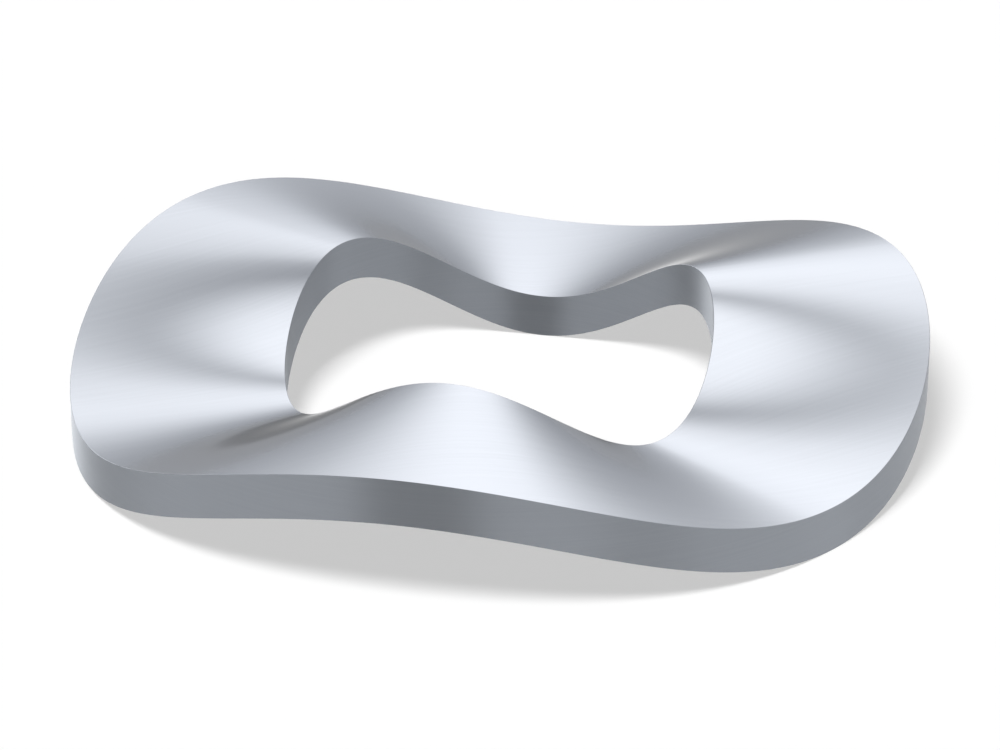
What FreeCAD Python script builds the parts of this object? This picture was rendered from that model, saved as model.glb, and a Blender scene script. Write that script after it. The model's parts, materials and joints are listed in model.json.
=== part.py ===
# Wave spring washer: a flat ring of spring steel pressed into even waves.
# Millimetres, +Z up. The origin is on the washer's axis, in the plane that its
# troughs rest on, and one crest lies on +X.

import FreeCAD
import Part
import math
import os

# Driving dimensions
outer_diameter = 21.0
bore_diameter = 10.5
sheet_thickness = 1.1
free_height = 3.27
wave_count = 3
edge_break = 0.05

# Worked out from them
outer_radius = outer_diameter / 2
bore_radius = bore_diameter / 2
wave_travel = free_height - sheet_thickness
lobe_angle = math.pi / wave_count
wave_angle = 2 * lobe_angle

# Each lobe's lines pass through this many points of the true wave.
points_per_lobe = 9

up = FreeCAD.Vector(0, 0, 1)
centre = FreeCAD.Vector(0, 0, 0)


def sheet_section():
    """Corners of the sheet's section, as radius and height above its underside.

    Both edges run on to a 45 degree point, which the round walls then trim
    off, so that a chamfer of edge_break is left above and below each wall.
    """
    point_reach = sheet_thickness / 2 - edge_break
    return [
        (bore_radius - point_reach, sheet_thickness / 2),
        (bore_radius + edge_break, 0),
        (outer_radius - edge_break, 0),
        (outer_radius + point_reach, sheet_thickness / 2),
        (outer_radius - edge_break, sheet_thickness),
        (bore_radius + edge_break, sheet_thickness),
    ]


def wave_point(radius, height, angle):
    """Point of the waved sheet: full travel at a crest, none at a trough, level along a radius."""
    lift = wave_travel / 2 * (1 + math.cos(wave_count * angle))
    return FreeCAD.Vector(radius * math.cos(angle), radius * math.sin(angle), height + lift)


def wave_direction(radius, angle):
    """Direction of the waved sheet round the axis, so that neighbouring lobes run on smoothly."""
    slope = -wave_travel / 2 * wave_count * math.sin(wave_count * angle)
    return FreeCAD.Vector(-radius * math.sin(angle), radius * math.cos(angle), slope)


def wave_line(radius, height, start, end):
    """Line that one corner of the section follows, from one angle to another."""
    step = (end - start) / (points_per_lobe - 1)
    angles = [start + step * number for number in range(points_per_lobe)]
    line = Part.BSplineCurve()
    line.interpolate(
        Points=[wave_point(radius, height, angle) for angle in angles],
        Parameters=angles,
        InitialTangent=wave_direction(radius, start),
        FinalTangent=wave_direction(radius, end),
        Scale=False,
    )
    return line.toShape()


def sheet_lobe(start, end):
    """Half a wave of the sheet: its section swept round the axis and up or down the wave."""
    corners = sheet_section()
    lines = [wave_line(radius, height, start, end) for radius, height in corners]
    sides = [Part.makeRuledSurface(line, following) for line, following in zip(lines, lines[1:] + lines[:1])]
    ends = []
    for angle in (start, end):
        outline = [wave_point(radius, height, angle) for radius, height in corners]
        ends.append(Part.Face(Part.makePolygon(outline + outline[:1])))
    shell = Part.makeShell(sides + ends)
    shell.sewShape()
    return Part.makeSolid(shell)


def ring_sector(start):
    """The same share of the flat ring's round walls, tall enough to trim the whole wave."""
    low = -sheet_thickness
    high = free_height + sheet_thickness
    outline = [
        FreeCAD.Vector(bore_radius, 0, low),
        FreeCAD.Vector(outer_radius, 0, low),
        FreeCAD.Vector(outer_radius, 0, high),
        FreeCAD.Vector(bore_radius, 0, high),
    ]
    section = Part.Face(Part.makePolygon(outline + outline[:1]))
    sector = section.revolve(centre, up, math.degrees(lobe_angle))
    sector.rotate(centre, up, math.degrees(start))
    return sector


def ring_lobe(middle):
    """One crest or one trough of the washer, between two places at half height."""
    start = middle - lobe_angle / 2
    end = middle + lobe_angle / 2
    return sheet_lobe(start, end).common(ring_sector(start))


def turned(shape, angle):
    """Copy of a shape, turned round the axis."""
    copy = shape.copy()
    copy.rotate(centre, up, math.degrees(angle))
    return copy


def washer():
    """The whole ring: one crest and one trough, repeated round the axis and joined."""
    wave = [ring_lobe(0), ring_lobe(lobe_angle)]
    lobes = [turned(lobe, wave_angle * number) for number in range(wave_count) for lobe in wave]
    return lobes[0].multiFuse(lobes[1:]).Solids[0]


wave_washer = washer()

os.makedirs("parts", exist_ok=True)
wave_washer.exportStep("parts/wave_washer.step")
print("wave_washer", "valid", wave_washer.isValid(), "volume", round(wave_washer.Volume, 3))
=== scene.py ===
"""Looks of a wave spring washer: one ring of bright spring steel on a white studio floor.

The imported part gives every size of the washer. This script builds its surface as a fine
mesh with softly rounded rims, dresses it, and adds the floor, the light and the camera.
Lengths are in metres and the axes are the part's own: +Z up along the bore, and a crest of
the wave on +X.
"""

import json
import logging
import math
from dataclasses import dataclass
from enum import Enum

import bpy
import numpy as np
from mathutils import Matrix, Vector

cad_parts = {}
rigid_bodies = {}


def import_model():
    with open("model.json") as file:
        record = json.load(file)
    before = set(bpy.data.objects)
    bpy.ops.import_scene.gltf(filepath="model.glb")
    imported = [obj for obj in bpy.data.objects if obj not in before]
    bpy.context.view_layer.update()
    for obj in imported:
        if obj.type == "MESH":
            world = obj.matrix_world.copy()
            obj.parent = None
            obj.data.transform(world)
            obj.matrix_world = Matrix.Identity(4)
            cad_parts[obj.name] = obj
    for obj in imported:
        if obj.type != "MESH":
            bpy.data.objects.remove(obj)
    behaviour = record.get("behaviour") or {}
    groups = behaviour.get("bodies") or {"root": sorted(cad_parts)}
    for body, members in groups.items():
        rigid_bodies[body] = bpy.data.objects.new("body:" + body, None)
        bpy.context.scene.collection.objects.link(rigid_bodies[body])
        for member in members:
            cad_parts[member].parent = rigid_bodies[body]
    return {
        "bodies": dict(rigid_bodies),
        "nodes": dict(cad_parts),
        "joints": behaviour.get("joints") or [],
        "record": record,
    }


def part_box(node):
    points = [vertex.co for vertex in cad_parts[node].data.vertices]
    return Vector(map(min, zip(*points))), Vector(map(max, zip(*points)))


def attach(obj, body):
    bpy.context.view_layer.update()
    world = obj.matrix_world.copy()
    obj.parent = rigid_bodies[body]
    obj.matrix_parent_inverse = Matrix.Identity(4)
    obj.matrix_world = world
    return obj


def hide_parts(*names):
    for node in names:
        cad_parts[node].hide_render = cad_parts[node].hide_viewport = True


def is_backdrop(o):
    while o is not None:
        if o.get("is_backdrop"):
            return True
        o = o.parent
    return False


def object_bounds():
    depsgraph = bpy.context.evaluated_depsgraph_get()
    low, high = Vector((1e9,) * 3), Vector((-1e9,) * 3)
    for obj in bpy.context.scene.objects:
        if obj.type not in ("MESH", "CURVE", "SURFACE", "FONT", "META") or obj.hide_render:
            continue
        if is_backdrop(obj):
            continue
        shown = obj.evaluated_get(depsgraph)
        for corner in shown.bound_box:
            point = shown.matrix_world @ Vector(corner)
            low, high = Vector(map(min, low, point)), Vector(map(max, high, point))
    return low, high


NODE = "wave_washer"
BODY = "root"
MM = 0.001
UP = Vector((0, 0, 1))

# Just off a surface, so that a ray that starts there doesn't meet that surface again.
OFF_SURFACE = 0.01 * MM
# How rough a noise's grain is in itself, in octaves.
GRAIN_DETAIL = 2.0
# A quarter of a full turn, as the shader counts the way that its gloss spreads.
QUARTER_TURN = 0.25

log = logging.getLogger("wave_washer")

Socket = bpy.types.NodeSocket
Colour = tuple[float, float, float, float]


def linear(value: str) -> Colour:
    """Turn an sRGB hex colour into a linear one.

    Args:
        value: Six hex digits after a "#".

    Returns:
        Red, green, blue and an alpha of 1, as a shader socket takes them.
    """
    channels = [int(value[place : place + 2], 16) / 255 for place in (1, 3, 5)]
    red, green, blue = (c / 12.92 if c <= 0.04045 else ((c + 0.055) / 1.055) ** 2.4 for c in channels)
    return red, green, blue, 1.0


def add_node(
    tree: bpy.types.NodeTree,
    kind: str,
    settings: dict[str, object] | None = None,
    inputs: dict[str | int, object] | None = None,
) -> bpy.types.Node:
    """Add one node to a tree, with its settings, its constants and its links.

    Args:
        tree: The node tree that gets it.
        kind: The node's type name in Blender, without its leading "ShaderNode".
        settings: Properties of the node itself.
        inputs: A value or another node's output for each input, by its name or number.

    Returns:
        The new node.
    """
    node = tree.nodes.new("ShaderNode" + kind)
    for name, value in (settings or {}).items():
        setattr(node, name, value)
    for name, value in (inputs or {}).items():
        if isinstance(value, Socket):
            tree.links.new(value, node.inputs[name])
        else:
            node.inputs[name].default_value = value
    return node


def empty_tree(owner: bpy.types.Material | bpy.types.World) -> bpy.types.NodeTree:
    """Switch a material's or world's nodes on, and clear them.

    Args:
        owner: The material or world.

    Returns:
        Its empty node tree.
    """
    owner.use_nodes = True
    owner.node_tree.nodes.clear()
    return owner.node_tree


def streaks(tree: bpy.types.NodeTree, place: Socket, size: tuple[float, float, float]) -> Socket:
    """Draw long fine marks, as noise that is stretched along one way.

    Args:
        tree: The material's nodes.
        place: The surface point, in metres.
        size: Length of the noise's grain along X, Y and Z, in millimetres.

    Returns:
        The marks' strength, around a half.
    """
    grain = tuple(length * MM for length in size)
    stretched = add_node(tree, "Mapping", {"vector_type": "TEXTURE"}, {"Vector": place, "Scale": grain})
    inputs = {"Vector": stretched.outputs["Vector"], "Scale": 1.0, "Detail": GRAIN_DETAIL}
    noise = add_node(tree, "TexNoise", None, inputs)
    return noise.outputs["Fac"]


def graded(tree: bpy.types.NodeTree, value: Socket, low: float, high: float, spread: float = 0.2) -> Socket:
    """Spread a noise around a half over a range of values.

    Args:
        tree: The material's nodes.
        value: The noise.
        low: Value for the noise's low side.
        high: Value for its high side.
        spread: How far each side is from a half.

    Returns:
        The graded value.
    """
    inputs = {
        "Value": value,
        "From Min": 0.5 - spread,
        "From Max": 0.5 + spread,
        "To Min": low,
        "To Max": high,
    }
    return add_node(tree, "MapRange", None, inputs).outputs["Result"]


def blended(tree: bpy.types.NodeTree, share: Socket, first: str, second: str) -> Socket:
    """Mix two sRGB hex colours.

    Args:
        tree: The material's nodes.
        share: How much of the second one there is.
        first: The colour at a share of 0.
        second: The colour at a share of 1.

    Returns:
        The mixed colour.
    """
    mix = add_node(tree, "Mix", {"data_type": "RGBA"}, {0: share, 6: linear(first), 7: linear(second)})
    return mix.outputs[2]


class Stretch(Enum):
    """Stretches of the sheet's section, in the order of the washer's material slots."""

    FACE = 0
    OUTER_WALL = 1
    BORE_WALL = 2


@dataclass(frozen=True)
class RolledSpringSteel:
    """Cold rolled spring steel, finely tumbled: the two broad faces.

    The rolls leave it bright and nearly mirror smooth, with very fine straight lines along
    the strip that it was stamped from. To the eye that is a slightly cool mirror. Tumbling
    leaves tiny dents that shade each other where the eye looks along the surface, so it
    grows darker there, which is the edge tint. The lines are as far apart as such lines
    get, so that they show at all.
    """

    name: str = "rolled_spring_steel"
    dark: str = "#CDD0D6"
    light: str = "#D3D6DC"
    edge_tint: str = "#A3A4A6"
    roughness: float = 0.11
    roughness_change: float = 0.01
    haze_size: float = 1.6
    line_spacing: float = 0.05
    line_length: float = 4.0
    line_height: float = 0.0001

    def material(self) -> bpy.types.Material:
        """Build the finish. Its lengths are in millimetres.

        Returns:
            The faces' material.
        """
        made = bpy.data.materials.new(self.name)
        tree = empty_tree(made)
        place = add_node(tree, "TexCoord").outputs["Object"]
        lines = streaks(tree, place, (self.line_length, self.line_spacing, self.line_length))
        haze = streaks(tree, place, (self.haze_size,) * 3)
        bump = add_node(tree, "Bump", None, {"Height": lines, "Distance": self.line_height * MM})
        inputs = {
            "Base Color": blended(tree, lines, self.dark, self.light),
            "Metallic": 1.0,
            "Roughness": graded(
                tree, haze, self.roughness - self.roughness_change, self.roughness + self.roughness_change
            ),
            "Specular Tint": linear(self.edge_tint),
            "Normal": bump.outputs["Normal"],
        }
        shader = add_node(tree, "BsdfPrincipled", None, inputs)
        add_node(tree, "OutputMaterial", None, {"Surface": shader.outputs["BSDF"]})
        return made


@dataclass(frozen=True)
class BrushedShearedEdge:
    """A punched wall and its rims, brushed round after the shear to take the burr off.

    Its colour is darker than the faces': partly the duller steel of the shear, partly painted
    shade that stands in for a dimmer reflection on the walls. The brush runs round the ring,
    so its lines are level and the gloss spreads up and down: to the eye that is an even satin
    grey that changes only round the ring, in upright bands. The lines are those of a coarse brush.
    """

    name: str
    dark: str
    light: str
    roughness: float = 0.45
    spread: float = 1.0
    line_spacing: float = 0.04
    line_length: float = 3.0

    def material(self) -> bpy.types.Material:
        """Build the finish. Its lengths are in millimetres.

        Returns:
            A wall's material.
        """
        made = bpy.data.materials.new(self.name)
        tree = empty_tree(made)
        place = add_node(tree, "TexCoord").outputs["Object"]
        lines = streaks(tree, place, (self.line_length, self.line_length, self.line_spacing))
        around = add_node(tree, "Tangent", {"direction_type": "RADIAL", "axis": "Z"})
        inputs = {
            "Base Color": blended(tree, lines, self.dark, self.light),
            "Metallic": 1.0,
            "Roughness": self.roughness,
            "Anisotropic": self.spread,
            "Anisotropic Rotation": QUARTER_TURN,
            "Tangent": around.outputs["Tangent"],
        }
        shader = add_node(tree, "BsdfPrincipled", None, inputs)
        add_node(tree, "OutputMaterial", None, {"Surface": shader.outputs["BSDF"]})
        return made


@dataclass(frozen=True)
class WaveWasher:
    """The washer itself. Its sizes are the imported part's.

    The number of waves, the rounding of the rims and the fineness of the mesh are set here.
    """

    outer_radius: float
    bore_radius: float
    free_height: float
    sheet_thickness: float
    wave_count: int = 3
    rim_radius: float = 0.012 * MM
    columns: int = 480
    face_steps: int = 24
    wall_steps: int = 6
    rim_steps: int = 4

    @classmethod
    def from_frame(cls, frame: dict) -> "WaveWasher":
        """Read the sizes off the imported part.


        Returns:
            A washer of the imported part's sizes.
        """
        low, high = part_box(NODE)
        bore = next(mount for mount in frame["record"]["mounts"] if mount["name"] == "bore")
        bore_radius = bore["dims"]["r_mm"] * MM
        above_crest = Vector(((bore_radius + high.x) / 2, 0, high.z + MM))
        solid = frame["nodes"][NODE]
        _, top, _, _ = solid.ray_cast(above_crest, -UP)
        _, underside, _, _ = solid.ray_cast(top - UP * OFF_SURFACE, -UP)
        return cls(high.x, bore_radius, high.z - low.z, (top - underside).length)

    def lift(self, angle: np.ndarray) -> np.ndarray:
        """Height of the underside above the ground, at angles round the axis."""
        travel = self.free_height - self.sheet_thickness
        return travel / 2 * (1 + np.cos(self.wave_count * angle))

    def climb(self, angle: np.ndarray) -> np.ndarray:
        """Change of that height with the angle."""
        travel = self.free_height - self.sheet_thickness
        return -travel / 2 * self.wave_count * np.sin(self.wave_count * angle)

    def section(self) -> tuple[np.ndarray, np.ndarray, list[Stretch]]:
        """Lay out the sheet's section, anticlockwise seen with the radius to the right.

        Returns:
            The points as (radius, height above the underside), the outward directions at
            them, and the stretch that each run from a point to the next belongs to.
        """
        rim = self.rim_radius
        inner, outer = self.bore_radius, self.outer_radius
        top = self.sheet_thickness
        points: list[np.ndarray] = []
        outward: list[np.ndarray] = []
        stretches: list[Stretch] = []

        def run(start: tuple[float, float], end: tuple[float, float], steps: int, kind: Stretch) -> None:
            """Add a straight run, without its last point.

            Args:
                start: Its first point.
                end: The point that it runs to.
                steps: How many parts it has.
                kind: The stretch that it belongs to.
            """
            along = np.subtract(end, start)
            for share in np.arange(steps) / steps:
                points.append(start + along * share)
                outward.append(np.array([along[1], -along[0]]) / np.linalg.norm(along))
                stretches.append(kind)

        def turn(centre: tuple[float, float], start: float, kind: Stretch) -> None:
            """Add a quarter turn of a rim, without its last point.

            Args:
                centre: Middle of the rim's rounding.
                start: Angle at which it begins.
                kind: The stretch that it belongs to.
            """
            for angle in start + math.pi / 2 * np.arange(self.rim_steps) / self.rim_steps:
                outward.append(np.array([math.cos(angle), math.sin(angle)]))
                points.append(centre + rim * outward[-1])
                stretches.append(kind)

        run((inner + rim, 0), (outer - rim, 0), self.face_steps, Stretch.FACE)
        turn((outer - rim, rim), -math.pi / 2, Stretch.OUTER_WALL)
        run((outer, rim), (outer, top - rim), self.wall_steps, Stretch.OUTER_WALL)
        turn((outer - rim, top - rim), 0, Stretch.OUTER_WALL)
        run((outer - rim, top), (inner + rim, top), self.face_steps, Stretch.FACE)
        turn((inner + rim, top - rim), math.pi / 2, Stretch.BORE_WALL)
        run((inner, top - rim), (inner, rim), self.wall_steps, Stretch.BORE_WALL)
        turn((inner + rim, rim), math.pi, Stretch.BORE_WALL)
        return np.array(points), np.array(outward), stretches

    def build(self) -> bpy.types.Object:
        """Sweep the section round the axis, up and down the wave.

        The surface's exact directions go with it, so that the shine runs on evenly right
        up to the rims.

        Returns:
            The washer, with a material number on each face and no material yet.
        """
        section, outward, stretches = self.section()
        count = len(section)
        angles = (np.arange(self.columns) * 2 * math.pi / self.columns)[:, None]
        cosine, sine = np.cos(angles), np.sin(angles)
        level, level_out = section[:, 0], outward[:, 0]
        height = section[:, 1] + self.lift(angles)
        points = np.stack([level * cosine, level * sine, height], axis=-1)
        around = -outward[:, 1] * self.climb(angles) / level
        rise = np.broadcast_to(outward[:, 1], around.shape)
        along_x = level_out * cosine - around * sine
        along_y = level_out * sine + around * cosine
        normals = np.stack([along_x, along_y, rise], axis=-1)
        normals /= np.linalg.norm(normals, axis=-1, keepdims=True)
        here = np.arange(self.columns)[:, None] * count
        onward = np.roll(here, -1)
        near = np.arange(count)[None, :]
        far = np.roll(near, -1)
        faces = np.stack([here + near, onward + near, onward + far, here + far], axis=-1)
        mesh = bpy.data.meshes.new("washer_sheet")
        mesh.from_pydata(points.reshape(-1, 3).tolist(), [], faces.reshape(-1, 4).tolist())
        mesh.polygons.foreach_set("use_smooth", [True] * len(mesh.polygons))
        mesh.polygons.foreach_set("material_index", [kind.value for kind in stretches] * self.columns)
        mesh.update()
        mesh.normals_split_custom_set_from_vertices(normals.reshape(-1, 3).tolist())
        washer = bpy.data.objects.new("washer_sheet", mesh)
        bpy.context.scene.collection.objects.link(washer)
        # The steel throws no glints on the floor and mirrors the studio, not itself, so
        # that the shadow and the shine stay as plain as in the photograph.
        washer.visible_diffuse = False
        washer.visible_glossy = False
        return washer

    def dress(self, washer: bpy.types.Object) -> None:
        """Give the faces the rolled finish, and the walls with their rims the brushed one.

        The bore wall's colour is darker than the outer wall's: painted shade in the hollow of the bore.

        Args:
            washer: What build() returned.
        """
        finishes = {
            Stretch.FACE: RolledSpringSteel(),
            # Both walls are darker than the faces: partly the duller sheared steel, partly painted shade for
            # a dimmer reflection.
            Stretch.OUTER_WALL: BrushedShearedEdge("brushed_outer_wall_shear_and_painted_shade", "#93979D", "#999DA3"),
            # The bore wall is darker still: painted shade in the hollow of the bore.
            Stretch.BORE_WALL: BrushedShearedEdge("brushed_bore_wall_painted_shade", "#8A8E94", "#90949A"),
        }
        for stretch in Stretch:
            washer.data.materials.append(finishes[stretch].material())


@dataclass(frozen=True)
class PhotoCamera:
    """The photograph's camera: where it stands and what it takes in."""

    azimuth: float = -17.184
    elevation: float = 24.0
    distance: float = 88.91 * MM
    lens: float = 130.17
    aim_below: float = 0.42 * MM
    aim_right: float = 0.032 * MM
    nearest: float = 1 * MM
    farthest: float = 10.0

    def away(self) -> Vector:
        """Level direction in which it looks."""
        turn = math.radians(self.azimuth)
        return Vector((-math.sin(turn), math.cos(turn), 0))

    def right(self) -> Vector:
        """Level direction to its right."""
        return self.away().cross(UP)

    def towards(self, azimuth: float, elevation: float) -> Vector:
        """Find a direction as the photograph has it.

        Args:
            azimuth: Degrees to the right of the way in which it looks.
            elevation: Degrees above the floor.

        Returns:
            A unit vector.
        """
        turn, rise = math.radians(azimuth), math.radians(elevation)
        level = self.away() * math.cos(turn) + self.right() * math.sin(turn)
        return level * math.cos(rise) + UP * math.sin(rise)

    def build(self, centre: Vector) -> bpy.types.Object:
        """Set the camera up as the scene's own.

        Args:
            centre: Middle of the washer's box.

        Returns:
            The camera.
        """
        data = bpy.data.cameras.new("photo_camera")
        data.lens = self.lens
        data.clip_start = self.nearest
        data.clip_end = self.farthest
        camera = bpy.data.objects.new("photo_camera", data)
        camera.location = centre + self.towards(180, self.elevation) * self.distance
        over = self.towards(0, 90 - self.elevation)
        aim = centre - over * self.aim_below + self.right() * self.aim_right
        camera.rotation_euler = (aim - camera.location).to_track_quat("-Z", "Y").to_euler()
        bpy.context.scene.collection.objects.link(camera)
        bpy.context.scene.camera = camera
        return camera


@dataclass(frozen=True)
class Ramp:
    """Smooth grade of a light over the sky, by the angle from one direction.

    The direction is an azimuth, in degrees to the right of the photograph's line of sight,
    and an elevation. The light is nil at the angle "nil" from it and whole at "whole". A
    ramp that is mirrored does the same round the opposite direction.
    """

    azimuth: float
    elevation: float
    nil: float
    whole: float
    mirrored: bool = False


@dataclass(frozen=True)
class Patch:
    """A soft edged patch of the sky, bounded by its ramps, with a strength all over."""

    strength: float
    ramps: tuple[Ramp, ...]


@dataclass(frozen=True)
class Surroundings:
    """The studio that the steel mirrors: a dim cool room with white soft lights in it.

    Straight ahead of the photograph's camera stand a low white screen, which a soft lamp
    brightens to the left of its middle and a faint grey card dims to the right, and a long
    light above it. Another light hangs overhead. In the photograph the others only
    brighten the walls: a wide one behind the camera, a strip and a small one to the left,
    and one to the right.
    A narrow black flag in front of the wide one draws the dark band on the walls, and a
    round grey one makes them a little darker further to the right. Where the soft lights
    other than the left strip overlap they are no brighter than "brightest", so that the
    steel doesn't turn white.
    """

    camera: PhotoCamera
    room_tint: str = "#F5F9FF"
    light_tint: str = "#FFFFFF"
    room: float = 0.352
    screen: Patch = Patch(0.74, (Ramp(-27, -7, 65, 30), Ramp(90, 0, 142, 128)))
    screen_lamp: Patch = Patch(0.16, (Ramp(-33, 29, 25, 20),))
    long_light: Patch = Patch(
        1.0, (Ramp(-60, 70.5, 84, 63), Ramp(117, 88.5, 7, 45), Ramp(92, 24, 98, 69), Ramp(-20, 0, 100, 75))
    )
    overhead: Patch = Patch(1.06, (Ramp(0, 90, 31, 9),))
    front_light: Patch = Patch(1.06, (Ramp(180, 0, 109, 89), Ramp(0, 90, 25, 45)))
    left_light: Patch = Patch(1.0, (Ramp(-82, 8, 20, 8),))
    right_light: Patch = Patch(0.6, (Ramp(64, 12, 36, 14),))
    brightest: float = 1.4
    left_strip: Patch = Patch(2.4, (Ramp(57, 0, 76, 84, mirrored=True), Ramp(-33, 0, 44, 30)))
    flag: Patch = Patch(
        0.95, (Ramp(-70, 0, 74, 79, mirrored=True), Ramp(-160, 0, 90, 60), Ramp(0, 90, 35, 50))
    )
    grey_flag: Patch = Patch(0.6, (Ramp(143, 15, 17, 5),))
    grey_card: Patch = Patch(0.13, (Ramp(10, 12, 9, 0),))

    def ramp_value(self, tree: bpy.types.NodeTree, ray: Socket, ramp: Ramp) -> Socket:
        """Grade a light from 0 to 1 by the direction that is looked in.

        Args:
            tree: The world's nodes.
            ray: The direction that is looked in.
            ramp: The ramp.

        Returns:
            The grade.
        """
        axis = self.camera.towards(ramp.azimuth, ramp.elevation)
        dot = add_node(tree, "VectorMath", {"operation": "DOT_PRODUCT"}, {0: ray, 1: tuple(axis)})
        along = dot.outputs["Value"]
        if ramp.mirrored:
            along = add_node(tree, "Math", {"operation": "ABSOLUTE"}, {0: along}).outputs[0]
        ends = math.cos(math.radians(ramp.nil)), math.cos(math.radians(ramp.whole))
        low, high = sorted(ends)
        inputs = {
            "Value": along,
            "From Min": low,
            "From Max": high,
            "To Min": float(ends[0] > ends[1]),
            "To Max": float(ends[0] < ends[1]),
        }
        return add_node(tree, "MapRange", {"interpolation_type": "SMOOTHSTEP"}, inputs).outputs["Result"]

    def patch_value(self, tree: bpy.types.NodeTree, ray: Socket, patch: Patch) -> Socket:
        """Work out a patch's strength in the direction that is looked in.

        Args:
            tree: The world's nodes.
            ray: The direction that is looked in.
            patch: The patch.

        Returns:
            The strength.
        """
        value: Socket | float = patch.strength
        for ramp in patch.ramps:
            share = self.ramp_value(tree, ray, ramp)
            value = add_node(tree, "Math", {"operation": "MULTIPLY"}, {0: value, 1: share}).outputs[0]
        return value

    def build(self) -> bpy.types.World:
        """Make the scene's world, which only mirrors see.

        Returns:
            The world.
        """
        world = bpy.data.worlds.new("studio_surroundings")
        bpy.context.scene.world = world
        tree = empty_tree(world)
        ray = add_node(tree, "TexCoord").outputs["Generated"]
        open_share: Socket | float = 1.0
        for flag in (self.flag, self.grey_flag, self.grey_card):
            blocked = self.patch_value(tree, ray, flag)
            left = add_node(tree, "Math", {"operation": "SUBTRACT"}, {0: open_share, 1: blocked})
            open_share = left.outputs[0]
        lights: Socket | float = 0.0
        ahead = (self.screen, self.screen_lamp, self.long_light, self.overhead)
        around = (self.front_light, self.left_light, self.right_light)
        for light in ahead + around:
            value = self.patch_value(tree, ray, light)
            lights = add_node(tree, "Math", {"operation": "ADD"}, {0: lights, 1: value}).outputs[0]
        lights = add_node(tree, "Math", {"operation": "MINIMUM"}, {0: lights, 1: self.brightest}).outputs[0]
        strip = self.patch_value(tree, ray, self.left_strip)
        lights = add_node(tree, "Math", {"operation": "ADD"}, {0: lights, 1: strip}).outputs[0]
        glows = []
        for colour, strength in ((self.room_tint, self.room), (self.light_tint, lights)):
            seen = add_node(tree, "Math", {"operation": "MULTIPLY"}, {0: strength, 1: open_share}).outputs[0]
            glow = add_node(tree, "Background", None, {"Color": linear(colour), "Strength": seen})
            glows.append(glow.outputs["Background"])
        both = add_node(tree, "AddShader", None, {0: glows[0], 1: glows[1]})
        add_node(tree, "OutputWorld", None, {"Surface": both.outputs["Shader"]})
        world.cycles_visibility.diffuse = False
        return world


@dataclass(frozen=True)
class Lamp:
    """A far lamp that lights the floor and whatever is matt.

    Its direction is the one that it shines from. Its width is in degrees, as seen from the
    washer, and a wider one gives a softer shadow.
    """

    name: str
    direction: tuple[float, float, float]
    strength: float
    width: float
    shadow: bool = True

    def build(self) -> bpy.types.Object:
        """Hang the lamp.

        Returns:
            The lamp.
        """
        data = bpy.data.lights.new(self.name, "SUN")
        data.energy = self.strength
        data.angle = math.radians(self.width)
        data.use_shadow = self.shadow
        lamp = bpy.data.objects.new(self.name, data)
        lamp.rotation_euler = Vector(self.direction).to_track_quat("Z", "Y").to_euler()
        lamp.visible_glossy = False
        bpy.context.scene.collection.objects.link(lamp)
        return lamp


@dataclass(frozen=True)
class WhiteFloor:
    """A plain matt white floor that takes the washer's shadow."""

    radius: float = 3.0
    albedo: float = 0.86
    glow: float = 0.145
    steps: int = 128

    def build(self) -> bpy.types.Object:
        """Lay the floor in the plane that the troughs rest on.

        Returns:
            The floor.
        """
        turns = np.arange(self.steps) * 2 * math.pi / self.steps
        corners = [(self.radius * math.cos(turn), self.radius * math.sin(turn), 0.0) for turn in turns]
        mesh = bpy.data.meshes.new("studio_floor")
        mesh.from_pydata(corners, [], [list(range(self.steps))])
        mesh.materials.append(self.material())
        floor = bpy.data.objects.new("studio_floor", mesh)
        bpy.context.scene.collection.objects.link(floor)
        floor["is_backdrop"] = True
        return floor

    def material(self) -> bpy.types.Material:
        """Matt white paint, with a glow that only the camera and mirrored or bent rays see.

        Returns:
            The floor's material.
        """
        made = bpy.data.materials.new("matt_white_floor")
        tree = empty_tree(made)
        path = add_node(tree, "LightPath")
        seen = path.outputs["Is Camera Ray"]
        for other in ("Is Glossy Ray", "Is Transmission Ray"):
            either = add_node(tree, "Math", {"operation": "MAXIMUM"}, {0: seen, 1: path.outputs[other]})
            seen = either.outputs[0]
        strength = add_node(tree, "Math", {"operation": "MULTIPLY"}, {0: seen, 1: self.glow}).outputs[0]
        glow = add_node(tree, "Emission", None, {"Strength": strength})
        matt = add_node(tree, "BsdfDiffuse", None, {"Color": (self.albedo,) * 3 + (1.0,)})
        both = add_node(tree, "AddShader", None, {0: matt.outputs["BSDF"], 1: glow.outputs["Emission"]})
        add_node(tree, "OutputMaterial", None, {"Surface": both.outputs["Shader"]})
        return made


def main() -> None:
    """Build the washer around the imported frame, then the studio and the camera."""
    logging.basicConfig(level=logging.INFO, format="%(name)s: %(message)s")
    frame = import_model()
    cad_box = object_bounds()
    centre = (cad_box[0] + cad_box[1]) / 2

    shape = WaveWasher.from_frame(frame)
    washer = shape.build()
    shape.dress(washer)
    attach(washer, BODY)
    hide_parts(NODE)
    thickness = shape.sheet_thickness / MM
    log.info("%s: %d faces, sheet %.3f mm", washer.name, len(washer.data.polygons), thickness)

    camera = PhotoCamera()
    camera.build(centre)
    Surroundings(camera).build()
    WhiteFloor().build()
    Lamp("key_lamp", direction=(-0.438, -0.415, 1.0), strength=1.85, width=20).build()
    Lamp("fill_lamp", direction=(0, 0, 1.0), strength=1.56, width=20, shadow=False).build()
    bpy.context.scene.view_settings.view_transform = "Standard"


if __name__ == "__main__":
    main()
